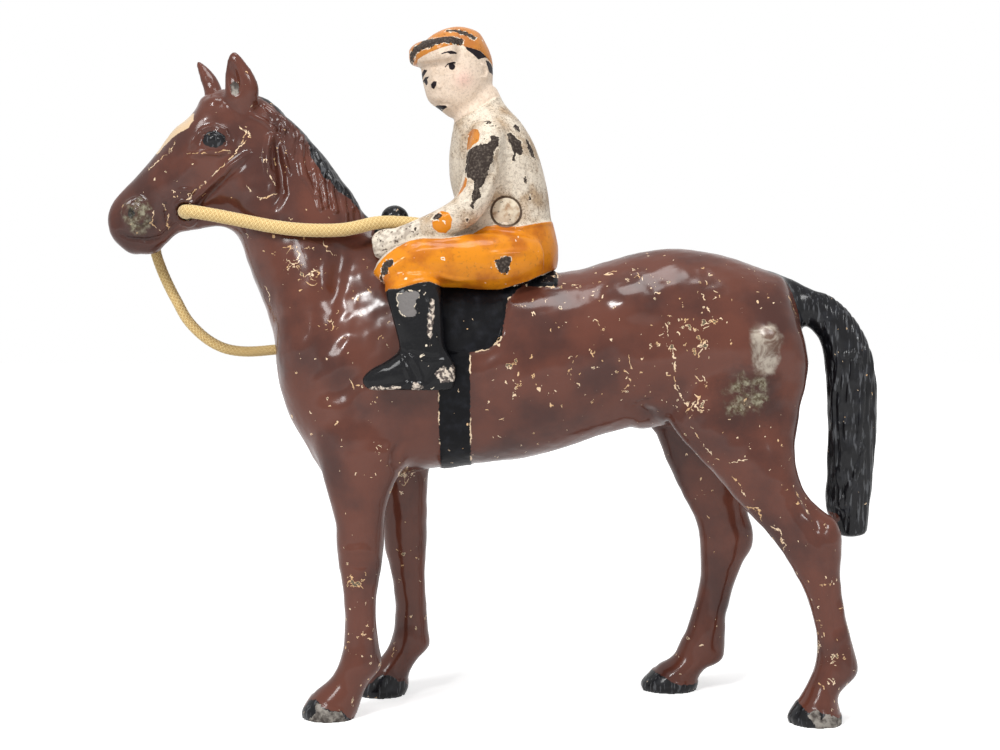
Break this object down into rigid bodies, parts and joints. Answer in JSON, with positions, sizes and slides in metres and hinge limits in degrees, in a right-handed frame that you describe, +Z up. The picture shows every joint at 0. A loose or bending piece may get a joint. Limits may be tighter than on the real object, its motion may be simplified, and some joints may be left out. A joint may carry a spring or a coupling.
{
  "type": "toy horse and rider",
  "caption": "Painted cast iron toy race horse, standing, with a jockey who lifts out of the saddle and a loop of cotton cord for reins.",
  "frame": {"origin": "on the ground plane, under the middle of the iron parts' box", "axes": "+X along the body from head to tail, +Y towards the horse's right side, +Z up"},
  "size_m": [0.2307, 0.0612, 0.203],
  "materials": {
    "horse_iron": "brown gloss enamel, chipped",
    "rider_iron": "cream, orange and black enamel, chipped",
    "rivet_steel": "worn and tarnished",
    "cord_cotton": "braided cotton"
  },
  "bodies": {
    "horse": {"horse_left_half": "horse_iron", "horse_right_half": "horse_iron", "shoulder_rivet": "rivet_steel", "hip_rivet": "rivet_steel", "near_rein": "cord_cotton", "far_rein": "cord_cotton"},
    "rider": {"rider_left_half": "rider_iron", "rider_right_half": "rider_iron", "rider_rivet": "rivet_steel", "rein_knot": "cord_cotton"}
  },
  "joints": [
    {"name": "rider_lift", "type": "slide", "parent": "horse", "child": "rider", "axis": [0, 0, 1], "range_m": [0, 0.04], "deforming": ["near_rein", "far_rein"]}
  ]
}
